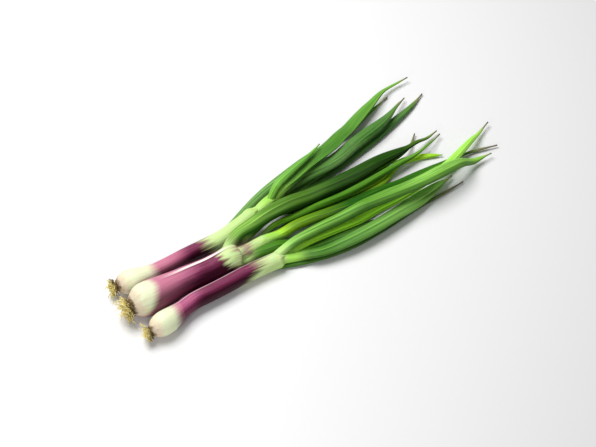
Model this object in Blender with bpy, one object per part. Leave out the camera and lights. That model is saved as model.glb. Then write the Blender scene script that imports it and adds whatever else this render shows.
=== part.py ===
"""A bunch of three spring onions, pulled with their roots and laid down together.

Each onion is a bulb that runs on into a stem of nested leaf sheaths, a tuft of short roots and a
fan of soft tubular leaves that lie on one another. The bulbs point to -X and the leaf tips to +X.
Lengths are worked in millimetres and made into metres as each mesh is built.
"""

import math
from collections import namedtuple

import bmesh
import bpy
import numpy as np

MM = 0.001
BUNCH_MIDDLE = (14.68, 20.62)  # middle of the bunch's box in the layout, moved to the origin
GAP = 0.3  # clearance cut between a leaf and the stem and leaves it grows beside
PILE_GAP = 0.9  # clearance that a leaf is laid with over the leaves under it
FLAT_SPOT = 0.5  # how far each bulb's round underside is cut back where it rests
NECK_CLEAR = 0.2  # how far a neck stays off the surface that the bulb rests on

STEM_SIDES = 18
STEM_RINGS = 34
LEAF_SIDES = 8
LEAF_RINGS = 22
ROOT_SIDES = 4
ROOT_RINGS = 4

# A stem: its plan line, from the root end to where its last leaf leaves it, where its bulb is
# widest and how wide, where its neck begins and how wide, where the outer sheath ends, the radii of
# the inner sheath there and at the far end, the far end's height, and where the purple stops.
Stem = namedtuple(
    "Stem",
    "plan bulb_x bulb_radius neck_x neck_radius sheath_x inner_radius end_radius end_height purple_x",
)
STEMS = {
    "back": Stem(
        plan=[(-178.5, 18.8), (-164, 17), (-138, 15), (-110, 16), (-68, 17.5), (-46, 22), (-15, 32)],
        bulb_x=-166,
        bulb_radius=11.0,
        neck_x=-140,
        neck_radius=7.4,
        sheath_x=-33,
        inner_radius=5.2,
        end_radius=4.4,
        end_height=8.0,
        purple_x=-84,
    ),
    "middle": Stem(
        plan=[(-180, -10.5), (-164, -10.5), (-129, -10), (-99, -11), (-74, -10), (-28, -6)],
        bulb_x=-164,
        bulb_radius=15.2,
        neck_x=-128,
        neck_radius=12.0,
        sheath_x=-73,
        inner_radius=7.0,
        end_radius=5.6,
        end_height=9.0,
        purple_x=-80,
    ),
    "front": Stem(
        plan=[(-177, -40), (-161, -38.5), (-130, -32), (-105, -31.5), (-78, -30.5), (-26, -32.5)],
        bulb_x=-162,
        bulb_radius=11.0,
        neck_x=-139,
        neck_radius=7.6,
        sheath_x=-39,
        inner_radius=5.6,
        end_radius=4.6,
        end_height=8.0,
        purple_x=-70,
    ),
}
SHEATH_FADE = 16.0  # length over which the outer sheath thins to the inner one
ROOT_END = 0.36  # radius at the root end as a share of the bulb's
COLLAR_SWELL = 0.4  # how much the outer sheath's end stands out from the stem

# A leaf: its onion, where it starts inside that stem, its half width and half thickness at the
# widest, how far its tip lifts, its outline, and its plan line from where it has left the stem. The
# leaves are in the order they are laid, so each rests on those before it.
Leaf = namedtuple("Leaf", "onion start half_width half_thick tip_lift outline plan")
# A leaf's outline: half width where it leaves the stem, as a share of its widest; the shares of its
# length where it is widest and where its broad part ends; how late that part narrows; and half
# width of the thin tail that runs on to the tip, as a share.
Outline = namedtuple("Outline", "base widest end power tail", defaults=(0.64, 0.42, 1.0, 2.6, 0.0))
LEAVES = {
    "back_leaf_1": Leaf(
        "back", -82, 4.6, 2.8, 1, Outline(power=2.8),
        [(-43, 34.5), (-5, 48.5), (35, 58), (79, 65), (129, 78), (163, 88)],
    ),
    "back_leaf_2": Leaf(
        "back", -46, 6.2, 3.0, 1, Outline(power=3.2),
        [(-12, 27), (22, 31), (85, 41), (133, 52), (177, 65), (195, 73)],
    ),
    "back_leaf_3": Leaf(
        "back", -62, 7.2, 3.4, 3, Outline(base=0.56, widest=0.5, end=0.94, power=3.2, tail=0.28),
        [(-4, 32), (14, 36), (38, 38), (67, 39.5), (102, 48), (138, 57), (175, 76)],
    ),
    "back_leaf_4": Leaf(
        "back", -38, 6.4, 3.2, 5, Outline(end=0.93, power=2.6, tail=0.28),
        [(13, 34), (43, 45), (71, 53), (104, 68), (137, 82), (168, 95), (194, 97)],
    ),
    "back_leaf_5": Leaf(
        "back", -42, 3.8, 3.0, 2, Outline(),
        [(-8, 31), (19, 40), (45, 48), (59, 54)],
    ),
    "middle_leaf_1": Leaf(
        "middle", -60, 5.4, 2.8, 1, Outline(end=0.86, power=3.0, tail=0.68),
        [(4, 1), (35, -1), (67, -2.5), (94, -1), (122, 9), (143, 4), (162, -5)],
    ),
    "middle_leaf_2": Leaf(
        "middle", -92, 5.2, 3.0, 1, Outline(base=0.85),
        [(-62, -15), (-46, -18), (-28, -19.3), (0, -23), (29, -27), (75, -28), (108, -30)],
    ),
    "middle_leaf_3": Leaf(
        "middle", -48, 6.4, 3.8, 2, Outline(base=0.74, end=0.90, power=3.0, tail=0.28),
        [(-12, -6.5), (9, -8), (44, -12), (105, -15), (151, -16), (186, -17), (214, -24)],
    ),
    "middle_leaf_4": Leaf(
        "middle", -56, 3.8, 2.8, 4, Outline(end=0.92, power=3.0, tail=0.34),
        [(-27, 5), (-7, 3), (20, 1.5), (51, -1), (86, 0), (117, 3), (144, 6), (175, 17)],
    ),
    "middle_leaf_5": Leaf(
        "middle", -82, 5.4, 2.6, 2, Outline(base=1.0, end=0.86, tail=0.3),
        [(-54, 5), (-40, 9.5), (-24, 13), (4, 14.5), (36, 12.5), (69, 10.5), (106, 10), (137, 17), (156, 32)],
    ),
    "middle_leaf_6": Leaf(
        "middle", -98, 8.0, 3.6, 4, Outline(base=0.46, widest=0.28, end=0.87, power=8.0, tail=0.30),
        [(-62, 6), (-46, 8), (-24, 11), (9, 12), (40, 11.5), (72, 10.5), (104, 12.5), (132, 13), (175, 22)],
    ),
    "front_leaf_1": Leaf(
        "front", -84, 4.6, 2.6, 1, Outline(end=0.84, tail=0.34),
        [(-46, -34), (-21, -42), (11, -48.5), (55, -49), (103, -46), (158, -43)],
    ),
    "front_leaf_2": Leaf(
        "front", -46, 5.0, 2.4, 1, Outline(power=4.0),
        [(-18, -33.5), (-2, -36.5), (23, -39.5), (47, -41), (74, -42)],
    ),
    "front_leaf_3": Leaf(
        "front", -50, 7.2, 3.2, 3, Outline(end=0.97, power=6.0, tail=0.26),
        [(-22, -37), (-8, -44.5), (16, -49), (45, -49.5), (79, -46.5), (111, -42), (152, -33)],
    ),
    "front_leaf_4": Leaf(
        "front", -48, 5.0, 3.0, 4, Outline(power=3.6, tail=0.26),
        [(-17, -29.5), (15, -31), (47, -33), (92, -35), (143, -26), (182, -14), (224, 4)],
    ),
    "front_leaf_5": Leaf(
        "front", -63, 6.6, 4.0, 4, Outline(end=0.985, power=6.0, tail=0.26),
        [(-24, -27), (-3, -27), (34, -28.5), (71, -32.5), (114, -36.5), (149, -34.5), (176, -31), (201, -31)],
    ),
}
TIP_RADIUS = 0.7
ROUND_BASE = 0.85  # half thickness to half width where a leaf is still a tube
LAY_POINTS = 120
PILE_REACH = 14.0  # a leaf is stiff over this length each way, so it bridges dips
BASE_FREE = 46.0  # over this length a leaf nests against the leaves it grows beside

# A root tuft: how many roots, their mean length and how far the outer ones lean, in degrees.
Tuft = namedtuple("Tuft", "count length spread")
TUFTS = {
    "back": Tuft(24, 7.5, 52),
    "middle": Tuft(32, 10.0, 58),
    "front": Tuft(22, 6.5, 52),
}
PLATE_THICK = 2.4
ROOT_RADIUS = 0.75
ROOT_CURL = 0.28
ROOT_DROOP = 0.35
GOLDEN_TURN = 2.399963
ROOT_SEED = 11
PURPLE_START = 1.1  # bulb radii from the bulb's widest place to where the purple begins


def smooth_line(points, count):
    """Return count points evenly spaced along a smooth line through the given points."""
    knots = np.asarray(points, dtype=float)
    along = np.concatenate([[0.0], np.cumsum(np.linalg.norm(np.diff(knots, axis=0), axis=1))])
    slopes = np.gradient(knots, along, axis=0)
    fine = np.linspace(0.0, along[-1], 600)
    piece = np.clip(np.searchsorted(along, fine, side="right") - 1, 0, len(along) - 2)
    span = (along[piece + 1] - along[piece])[:, None]
    u = (fine - along[piece])[:, None] / span
    line = (
        (2 * u**3 - 3 * u**2 + 1) * knots[piece]
        + (u**3 - 2 * u**2 + u) * span * slopes[piece]
        + (3 * u**2 - 2 * u**3) * knots[piece + 1]
        + (u**3 - u**2) * span * slopes[piece + 1]
    )
    length = np.concatenate([[0.0], np.cumsum(np.linalg.norm(np.diff(line, axis=0), axis=1))])
    even = np.linspace(0.0, length[-1], count)
    return np.stack([np.interp(even, length, axis) for axis in line.T], axis=1)


def ease(t):
    """Run smoothly from 0 to 1 as t does, and stay there."""
    t = np.clip(t, 0.0, 1.0)
    return t * t * (3.0 - 2.0 * t)


def stem_radius(stem, x):
    """Radius of an onion at x: the root end, the bulb, the neck and the sheaths in turn."""
    root_x = stem.plan[0][0]
    end_x = stem.plan[-1][0]
    back = np.clip((stem.bulb_x - x) / (stem.bulb_x - root_x), 0.0, 1.0)
    root_side = stem.bulb_radius * (1.0 - (1.0 - ROOT_END) * back**2.4)
    shoulder = stem.bulb_radius + (stem.neck_radius - stem.bulb_radius) * ease(
        (x - stem.bulb_x) / (stem.neck_x - stem.bulb_x)
    )
    thinned = (stem.neck_radius - stem.inner_radius) * ease((x - stem.sheath_x) / SHEATH_FADE + 0.5)
    beyond = np.clip((x - stem.sheath_x) / (end_x - stem.sheath_x), 0.0, 1.0)
    taper = thinned + (stem.inner_radius - stem.end_radius) * beyond
    swell = COLLAR_SWELL * np.exp(-(((x - stem.sheath_x + 6.0) / 5.0) ** 2))
    return np.where(x < stem.bulb_x, root_side, shoulder - taper + swell)


def stem_line(stem, count):
    """Centre line of an onion in three dimensions, from its root end to its last leaf."""
    plan = smooth_line(stem.plan, count)
    x = plan[:, 0]
    drop = ease((x - stem.bulb_x) / (stem.plan[-1][0] - stem.bulb_x))
    rest = stem.bulb_radius - FLAT_SPOT
    height = rest + (stem.end_height - rest) * drop
    clear = (FLAT_SPOT + NECK_CLEAR) * ease((x - stem.bulb_x) / (stem.neck_x - stem.bulb_x))
    return np.column_stack([plan, np.maximum(height, stem_radius(stem, x) - FLAT_SPOT + clear)])


def leaf_half_width(leaf, t):
    """Half width of a leaf at share t of its length: a narrow base, a long body and a fine tip.

    The body eases out from its base and ends as one less a power. The tail is its own share and
    ends bluntly. The two are joined as the fourth root of the sum of their fourth powers.
    """
    shape = leaf.outline
    swell = shape.base + (1.0 - shape.base) * ease(t / shape.widest)
    body = 1.0 - np.clip((t - shape.widest) / (shape.end - shape.widest), 0.0, 1.0) ** shape.power
    tail = shape.tail * (1.0 - np.clip(t, 0.0, 1.0) ** 24)
    return np.maximum(leaf.half_width * swell * (body**4 + tail**4) ** 0.25, TIP_RADIUS)


def leaf_half_thick(leaf, t):
    """Half thickness of a leaf at share t: round at its base, flatter where it lies open."""
    roundness = ease(1.0 - t / 0.3)
    flat = leaf.half_thick / leaf.half_width
    share = flat + (ROUND_BASE - flat) * roundness
    return np.maximum(leaf_half_width(leaf, t) * share, TIP_RADIUS)


def pile_height(line, half_width, half_thick, under):
    """Least height at which each point of a leaf clears the floor and the bodies under it.

    Two ovals laid side by side touch where the height between their centres is the sum of their
    half thicknesses times the height of a unit circle at their distance over the sum of widths.
    """
    need = half_thick.copy()
    for other, other_width, other_thick in under:
        apart = np.linalg.norm(line[:, None, :2] - other[None, :, :2], axis=2)
        reach = half_width[:, None] + other_width[None, :] + PILE_GAP
        share = np.clip(1.0 - (apart / reach) ** 2, 0.0, 1.0) ** 0.5
        lift = (half_thick[:, None] + other_thick[None, :] + PILE_GAP) * share
        need = np.maximum(need, np.where(share > 0.0, other[None, :, 2] + lift, 0.0).max(axis=1))
    return need


def stiffen(height, spacing):
    """Bridge the dips of a height line: its highest value nearby, then a mean of the same reach."""
    reach = max(1, int(round(PILE_REACH / spacing)))
    padded = np.pad(height, 2 * reach, mode="edge")
    windows = np.lib.stride_tricks.sliding_window_view(padded, 2 * reach + 1)
    highest = windows.max(axis=1)
    weight = np.hanning(2 * reach + 3)[1:-1]
    return np.convolve(highest, weight / weight.sum(), mode="valid")


def lay_leaf(leaf, stem, under_own, under_others):
    """Lay one leaf on the pile and return its centre line, half widths and half thicknesses."""
    core = stem_line(stem, 200)
    begin = np.array([np.interp(leaf.start, core[:, 0], core[:, k]) for k in (0, 1)])
    plan = smooth_line([begin, *leaf.plan], LAY_POINTS)
    t = np.linspace(0.0, 1.0, LAY_POINTS)
    length = np.linalg.norm(np.diff(plan, axis=0), axis=1).sum()
    half_width = leaf_half_width(leaf, t)
    half_thick = leaf_half_thick(leaf, t)
    need = pile_height(plan, half_width, half_thick, under_others)
    own = pile_height(plan, half_width, half_thick, under_own)
    need = np.where(t * length > BASE_FREE, np.maximum(need, own), need)
    need = stiffen(need, length / (LAY_POINTS - 1)) + leaf.tip_lift * t**3
    inside = np.interp(plan[:, 0], core[:, 0], core[:, 2])
    weight = ease(t * length / BASE_FREE)
    height = np.maximum(inside * (1.0 - weight) + need * weight, half_thick)
    return np.column_stack([plan, height]), half_width, half_thick


def lay_all():
    """Lay every leaf in order and return each one's line, half widths and half thicknesses."""
    stems = {}
    for name, stem in STEMS.items():
        line = stem_line(stem, 160)
        radius = stem_radius(stem, line[:, 0])
        stems[name] = (line, radius, radius)
    laid = {}
    for name, leaf in LEAVES.items():
        own = [laid[key] for key in laid if LEAVES[key].onion == leaf.onion]
        others = [laid[key] for key in laid if LEAVES[key].onion != leaf.onion]
        others += [stems[key] for key in stems if key != leaf.onion]
        laid[name] = lay_leaf(leaf, STEMS[leaf.onion], own, others)
    return laid


def sweep(line, half_width, half_thick, sides, turn=0.0):
    """Rings of an oval swept along a line, its width kept level, as a rings x sides x 3 array."""
    ahead = np.gradient(line, axis=0)
    ahead /= np.linalg.norm(ahead, axis=1)[:, None]
    across = np.cross([0.0, 0.0, 1.0], ahead)
    across /= np.linalg.norm(across, axis=1)[:, None]
    up = np.cross(ahead, across)
    angle = turn + 2.0 * math.pi * np.arange(sides) / sides
    wide = half_width[:, None, None] * np.cos(angle)[None, :, None] * across[:, None, :]
    tall = half_thick[:, None, None] * np.sin(angle)[None, :, None] * up[:, None, :]
    return line[:, None, :] + wide + tall


def tube(name, rings, start_pole, end_pole):
    """Make a closed solid from rings of points and a pole at each end."""
    count, sides = rings.shape[:2]
    points = np.concatenate([rings.reshape(-1, 3), [start_pole], [end_pole]])
    points[:, :2] -= BUNCH_MIDDLE
    faces = []
    for i in range(count - 1):
        for k in range(sides):
            after = (k + 1) % sides
            faces.append((i * sides + k, i * sides + after, (i + 1) * sides + after, (i + 1) * sides + k))
    last = (count - 1) * sides
    for k in range(sides):
        after = (k + 1) % sides
        faces.append((count * sides, after, k))
        faces.append((count * sides + 1, last + k, last + after))
    mesh = bpy.data.meshes.new(name)
    mesh.from_pydata((points * MM).tolist(), [], faces)
    mesh.validate()
    shell = bmesh.new()
    shell.from_mesh(mesh)
    bmesh.ops.recalc_face_normals(shell, faces=shell.faces)
    shell.to_mesh(mesh)
    shell.free()
    return bpy.data.objects.new(name, mesh)


def stem_solid(name, stem, grow=0.0):
    """Bulb, neck and sheaths of one onion as a single solid, with its flat spot."""
    line = stem_line(stem, 240)
    share = np.linspace(0.0, 1.0, STEM_RINGS) ** 1.25
    pick = np.interp(share, np.linspace(0.0, 1.0, 240), np.arange(240))
    line = np.stack([np.interp(pick, np.arange(240), axis) for axis in line.T], axis=1)
    radius = stem_radius(stem, line[:, 0]) + grow
    rings = sweep(line, radius, radius, STEM_SIDES)
    rings[:, :, 2] = np.maximum(rings[:, :, 2], 0.0)
    ahead = line[-1] - line[-2]
    ahead /= np.linalg.norm(ahead)
    start = line[0] + [-0.5 - grow, 0.0, 0.0]
    return tube(name, rings, start, line[-1] + ahead * (radius[-1] * 0.8))


def leaf_solid(name, laid, grow=0.0):
    """One leaf as a closed oval tube that narrows to its tip."""
    line, half_width, half_thick = laid
    t = np.linspace(0.0, 1.0, LEAF_RINGS)
    t = 1.0 - (1.0 - t) ** 1.12
    source = np.linspace(0.0, 1.0, len(line))
    line = np.stack([np.interp(t, source, axis) for axis in line.T], axis=1)
    half_width = np.interp(t, source, half_width) + grow
    half_thick = np.interp(t, source, half_thick) + grow
    rings = sweep(line, half_width, half_thick, LEAF_SIDES, math.pi / LEAF_SIDES)
    ahead = line[-1] - line[-2]
    ahead /= np.linalg.norm(ahead)
    return tube(name, rings, line[0], line[-1] + ahead * (1.2 + grow))


def root_solid(name, stem, tuft, draw):
    """One onion's root plate with its short roots sunk into it, joined into one solid."""
    line = stem_line(stem, 60)
    out = line[0] - line[2]
    out /= np.linalg.norm(out)
    radius = stem_radius(stem, line[:1, 0])[0]
    middle = line[0] + out * (0.5 + GAP)
    depth = np.array([0.0, 0.35, 0.75, 1.0]) * PLATE_THICK
    width = np.array([0.86, 0.8, 0.66, 0.4]) * radius
    spine = middle + out * depth[:, None]
    rings = sweep(spine, width, width, 10)
    plate = tube(name, rings, spine[0], spine[-1] + out * 0.4)
    holder = bpy.data.collections.new(name + "_strands")
    bpy.context.scene.collection.children.link(holder)
    for number in range(tuft.count):
        holder.objects.link(strand(f"{name}_strand_{number}", middle, out, radius, tuft, draw, number))
    return plate, holder


def strand(name, middle, out, radius, tuft, draw, number):
    """A root: a thin tapering tube that starts in the plate, spreads out and droops."""
    turn = GOLDEN_TURN * number
    share = math.sqrt((number + 0.5) / tuft.count)
    side = np.cross(out, [0.0, 0.0, 1.0])
    side /= np.linalg.norm(side)
    up = np.cross(side, out)
    around = math.cos(turn) * side + math.sin(turn) * up
    lean = math.radians(tuft.spread * share)
    heading = math.cos(lean) * out + math.sin(lean) * around
    bend = draw.normal(size=3) * ROOT_CURL
    length = tuft.length * draw.uniform(0.65, 1.35)
    base = middle + out * PLATE_THICK * 0.35 + around * radius * 0.5 * share
    u = np.linspace(0.0, 1.0, ROOT_RINGS)[:, None]
    path = base + heading * length * u + bend * length * u**2
    path[:, 2] -= ROOT_DROOP * length * u[:, 0] ** 2
    thick = ROOT_RADIUS * (1.0 - 0.45 * u[:, 0])
    path[:, 2] = np.maximum(path[:, 2], thick * 1.1)
    return tube(name, sweep(path, thick, thick, ROOT_SIDES, math.pi / 4), path[0], path[-1])


def bake(target):
    """Replace an object's mesh with the result of its modifiers."""
    bpy.context.view_layer.update()
    view = bpy.context.evaluated_depsgraph_get()
    mesh = bpy.data.meshes.new_from_object(target.evaluated_get(view), depsgraph=view)
    target.modifiers.clear()
    target.data = mesh


def cut(target, tool):
    """Take the tool's solid away from the target, by the manifold solver: exact leaves loose ends."""
    boolean = target.modifiers.new("clearance", "BOOLEAN")
    boolean.operation = "DIFFERENCE"
    boolean.solver = "MANIFOLD"
    boolean.object = tool
    bake(target)


def keep_largest(target):
    """Keep the largest connected piece of an object's mesh and drop any sliver cut off from it."""
    shell = bmesh.new()
    shell.from_mesh(target.data)
    seen = set()
    pieces = []
    for first in shell.verts:
        if first in seen:
            continue
        piece = [first]
        seen.add(first)
        for vert in piece:
            for edge in vert.link_edges:
                near = edge.other_vert(vert)
                if near not in seen:
                    seen.add(near)
                    piece.append(near)
        pieces.append(piece)
    pieces.sort(key=len)
    for piece in pieces[:-1]:
        bmesh.ops.delete(shell, geom=piece, context="VERTS")
    shell.to_mesh(target.data)
    shell.free()


def join_strands(plate, holder):
    """Union a tuft's roots with its plate, by the manifold solver as exact is slow on many tubes."""
    boolean = plate.modifiers.new("roots", "BOOLEAN")
    boolean.operation = "UNION"
    boolean.solver = "MANIFOLD"
    boolean.operand_type = "COLLECTION"
    boolean.collection = holder
    bake(plate)
    for item in list(holder.objects):
        bpy.data.objects.remove(item)
    bpy.data.collections.remove(holder)


def plain_material(name, color, roughness, sheen=0.0):
    """A Principled material with one colour and finish."""
    material = bpy.data.materials.new(name)
    material.use_nodes = True
    shader = material.node_tree.nodes["Principled BSDF"]
    shader.inputs["Base Color"].default_value = (*color, 1.0)
    shader.inputs["Roughness"].default_value = roughness
    shader.inputs["Sheen Weight"].default_value = sheen
    material.diffuse_color = (*color, 1.0)
    return material


def skin_bulb(name):
    """White skin of the bulb."""
    return plain_material(name + "_white", (0.80, 0.80, 0.62), 0.35)


def skin_neck(name):
    """Purple skin of the neck."""
    return plain_material(name + "_purple", (0.20, 0.03, 0.10), 0.35)


def skin_sheath(name):
    """Pale green skin of the upper sheaths."""
    return plain_material(name + "_pale_green", (0.45, 0.60, 0.22), 0.40)


def leaf_green(name, shade):
    """Waxy green of a leaf; shade runs from young and light to old and dark."""
    light = np.array([0.16, 0.42, 0.05])
    dark = np.array([0.03, 0.16, 0.04])
    return plain_material(name + "_green", tuple(light + (dark - light) * shade), 0.42)


def root_straw(name):
    """Dry straw colour of the roots."""
    return plain_material(name + "_straw", (0.45, 0.33, 0.14), 0.80)


def dress_stem(target, name, stem):
    """Colour a stem's faces in bands: white bulb, purple neck and pale green sheaths."""
    for material in (skin_bulb(name), skin_neck(name), skin_sheath(name)):
        target.data.materials.append(material)
    neck = stem.bulb_x + PURPLE_START * stem.bulb_radius
    for face in target.data.polygons:
        x = face.center.x / MM + BUNCH_MIDDLE[0]
        face.material_index = int(x > neck) + int(x > stem.purple_x)


def finish(target, home):
    """Link an object to the bunch, smooth its faces and leave its sharp edges sharp."""
    home.objects.link(target)
    target.data.polygons.foreach_set("use_smooth", [True] * len(target.data.polygons))
    target.data.set_sharp_from_angle(angle=math.radians(50.0))


def build():
    """Build the bunch: three stems, their leaves and their root tufts."""
    for item in list(bpy.data.objects):
        bpy.data.objects.remove(item)
    home = bpy.data.collections.new("spring_onion_bunch")
    bench = bpy.data.collections.new("cutters")
    for collection in (home, bench):
        bpy.context.scene.collection.children.link(collection)
    draw = np.random.default_rng(ROOT_SEED)
    laid = lay_all()
    for name, stem in STEMS.items():
        body = stem_solid(name + "_bulb_and_stem", stem)
        dress_stem(body, name, stem)
        finish(body, home)
        roots, strands = root_solid(name + "_roots", stem, TUFTS[name], draw)
        bench.objects.link(roots)
        join_strands(roots, strands)
        bench.objects.unlink(roots)
        roots.data.materials.append(root_straw(name))
        finish(roots, home)
        tools = [stem_solid(name + "_stem_room", stem, GAP)]
        bench.objects.link(tools[0])
        own = [key for key in LEAVES if LEAVES[key].onion == name]
        for rank, key in enumerate(own):
            blade = leaf_solid(key, laid[key])
            bench.objects.link(blade)
            for tool in tools:
                cut(blade, tool)
            keep_largest(blade)
            bench.objects.unlink(blade)
            blade.data.materials.append(leaf_green(key, 1.0 - rank / len(own)))
            finish(blade, home)
            tools.append(leaf_solid(key + "_room", laid[key], GAP))
            bench.objects.link(tools[-1])
    for tool in list(bench.objects):
        tool.hide_render = True
        tool.display_type = "WIRE"
        bpy.data.objects.remove(tool)
    bpy.data.collections.remove(bench)


build()
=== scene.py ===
"""Looks of a bunch of three spring onions lying on a pale table, bulbs to -X and leaf tips to +X.

Every leaf is worked out again from the same plan lines as in the part's source, then made as a fine
skin. Lengths are in millimetres in the layout and become metres in the mesh.
"""

import math
from collections import namedtuple

import bpy
import numpy as np
from mathutils import Matrix, Vector


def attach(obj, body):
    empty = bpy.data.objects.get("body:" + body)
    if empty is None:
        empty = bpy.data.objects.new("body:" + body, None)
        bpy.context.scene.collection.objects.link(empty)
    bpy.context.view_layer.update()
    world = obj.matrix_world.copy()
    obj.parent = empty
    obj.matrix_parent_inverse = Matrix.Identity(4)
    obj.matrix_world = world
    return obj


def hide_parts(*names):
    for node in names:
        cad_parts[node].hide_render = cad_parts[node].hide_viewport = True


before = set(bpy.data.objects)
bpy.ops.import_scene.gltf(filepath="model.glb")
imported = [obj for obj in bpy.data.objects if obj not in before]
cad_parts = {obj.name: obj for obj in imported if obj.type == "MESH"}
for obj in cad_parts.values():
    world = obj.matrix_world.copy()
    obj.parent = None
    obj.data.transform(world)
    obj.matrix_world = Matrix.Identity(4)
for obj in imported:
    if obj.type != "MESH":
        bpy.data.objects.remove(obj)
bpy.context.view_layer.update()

MM = 0.001
BUNCH_MIDDLE = (14.68, 20.62)
PILE_GAP = 0.9
FLAT_SPOT = 0.5
NECK_CLEAR = 0.2

Stem = namedtuple(
    "Stem", "plan bulb_x bulb_radius neck_x neck_radius sheath_x inner_radius end_radius end_height"
)
STEMS = {
    "back": Stem(
        plan=[(-178.5, 18.8), (-164, 17), (-138, 15), (-110, 16), (-68, 17.5), (-46, 22), (-15, 32)],
        bulb_x=-166, bulb_radius=11.0, neck_x=-140, neck_radius=7.4,
        sheath_x=-33, inner_radius=5.2, end_radius=4.4, end_height=8.0,
    ),
    "middle": Stem(
        plan=[(-180, -10.5), (-164, -10.5), (-129, -10), (-99, -11), (-74, -10), (-28, -6)],
        bulb_x=-164, bulb_radius=15.2, neck_x=-128, neck_radius=12.0,
        sheath_x=-73, inner_radius=7.0, end_radius=5.6, end_height=9.0,
    ),
    "front": Stem(
        plan=[(-177, -40), (-161, -38.5), (-130, -32), (-105, -31.5), (-78, -30.5), (-26, -32.5)],
        bulb_x=-162, bulb_radius=11.0, neck_x=-139, neck_radius=7.6,
        sheath_x=-39, inner_radius=5.6, end_radius=4.6, end_height=8.0,
    ),
}
SHEATH_FADE = 16.0  # length over which the outer sheath thins to the inner one
ROOT_END = 0.36  # radius at the root end as a share of the bulb's
COLLAR_SWELL = 0.4  # how much the outer sheath's end stands out from the stem

# A leaf: its onion, where it starts inside that stem, its half width and half thickness at the
# widest, how far its tip lifts, its outline, and its plan line from where it has left the stem. The
# leaves are in the order they are laid, so each rests on those before it.
Leaf = namedtuple("Leaf", "onion start half_width half_thick tip_lift outline plan")
# A leaf's outline: half width where it leaves the stem, as a share of its widest; the shares of its
# length where it is widest and where its broad part ends; how late that part narrows; and half
# width of the thin tail that runs on to the tip, as a share.
Outline = namedtuple("Outline", "base widest end power tail", defaults=(0.64, 0.42, 1.0, 2.6, 0.0))
LEAVES = {
    "back_leaf_1": Leaf(
        "back", -82, 4.6, 2.8, 1, Outline(power=2.8),
        [(-43, 34.5), (-5, 48.5), (35, 58), (79, 65), (129, 78), (163, 88)],
    ),
    "back_leaf_2": Leaf(
        "back", -46, 6.2, 3.0, 1, Outline(power=3.2),
        [(-12, 27), (22, 31), (85, 41), (133, 52), (177, 65), (195, 73)],
    ),
    "back_leaf_3": Leaf(
        "back", -62, 7.2, 3.4, 3, Outline(base=0.56, widest=0.5, end=0.94, power=3.2, tail=0.28),
        [(-4, 32), (14, 36), (38, 38), (67, 39.5), (102, 48), (138, 57), (175, 76)],
    ),
    "back_leaf_4": Leaf(
        "back", -38, 6.4, 3.2, 5, Outline(end=0.93, power=2.6, tail=0.28),
        [(13, 34), (43, 45), (71, 53), (104, 68), (137, 82), (168, 95), (194, 97)],
    ),
    "back_leaf_5": Leaf(
        "back", -42, 3.8, 3.0, 2, Outline(),
        [(-8, 31), (19, 40), (45, 48), (59, 54)],
    ),
    "middle_leaf_1": Leaf(
        "middle", -60, 5.4, 2.8, 1, Outline(end=0.86, power=3.0, tail=0.68),
        [(4, 1), (35, -1), (67, -2.5), (94, -1), (122, 9), (143, 4), (162, -5)],
    ),
    "middle_leaf_2": Leaf(
        "middle", -92, 5.2, 3.0, 1, Outline(base=0.85),
        [(-62, -15), (-46, -18), (-28, -19.3), (0, -23), (29, -27), (75, -28), (108, -30)],
    ),
    "middle_leaf_3": Leaf(
        "middle", -48, 6.4, 3.8, 2, Outline(base=0.74, end=0.90, power=3.0, tail=0.28),
        [(-12, -6.5), (9, -8), (44, -12), (105, -15), (151, -16), (186, -17), (214, -24)],
    ),
    "middle_leaf_4": Leaf(
        "middle", -56, 3.8, 2.8, 4, Outline(end=0.92, power=3.0, tail=0.34),
        [(-27, 5), (-7, 3), (20, 1.5), (51, -1), (86, 0), (117, 3), (144, 6), (175, 17)],
    ),
    "middle_leaf_5": Leaf(
        "middle", -82, 5.4, 2.6, 2, Outline(base=1.0, end=0.86, tail=0.3),
        [
            (-54, 5), (-40, 9.5), (-24, 13), (4, 14.5), (36, 12.5),
            (69, 10.5), (106, 10), (137, 17), (156, 32),
        ],
    ),
    "middle_leaf_6": Leaf(
        "middle", -98, 8.0, 3.6, 4, Outline(base=0.46, widest=0.28, end=0.87, power=8.0, tail=0.30),
        [(-62, 6), (-46, 8), (-24, 11), (9, 12), (40, 11.5), (72, 10.5), (104, 12.5), (132, 13), (175, 22)],
    ),
    "front_leaf_1": Leaf(
        "front", -84, 4.6, 2.6, 1, Outline(end=0.84, tail=0.34),
        [(-46, -34), (-21, -42), (11, -48.5), (55, -49), (103, -46), (158, -43)],
    ),
    "front_leaf_2": Leaf(
        "front", -46, 5.0, 2.4, 1, Outline(power=4.0),
        [(-18, -33.5), (-2, -36.5), (23, -39.5), (47, -41), (74, -42)],
    ),
    "front_leaf_3": Leaf(
        "front", -50, 7.2, 3.2, 3, Outline(end=0.97, power=6.0, tail=0.26),
        [(-22, -37), (-8, -44.5), (16, -49), (45, -49.5), (79, -46.5), (111, -42), (152, -33)],
    ),
    "front_leaf_4": Leaf(
        "front", -48, 5.0, 3.0, 4, Outline(power=3.6, tail=0.26),
        [(-17, -29.5), (15, -31), (47, -33), (92, -35), (143, -26), (182, -14), (224, 4)],
    ),
    "front_leaf_5": Leaf(
        "front", -63, 6.6, 4.0, 4, Outline(end=0.985, power=6.0, tail=0.26),
        [
            (-24, -27), (-3, -27), (34, -28.5), (71, -32.5),
            (114, -36.5), (149, -34.5), (176, -31), (201, -31),
        ],
    ),
}
TIP_RADIUS = 0.7
ROUND_BASE = 0.85  # half thickness to half width where a leaf is still a tube
LAY_POINTS = 120
PILE_REACH = 14.0  # a leaf is stiff over this length each way, so it bridges dips
BASE_FREE = 46.0  # over this length a leaf nests against the leaves it grows beside

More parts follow.
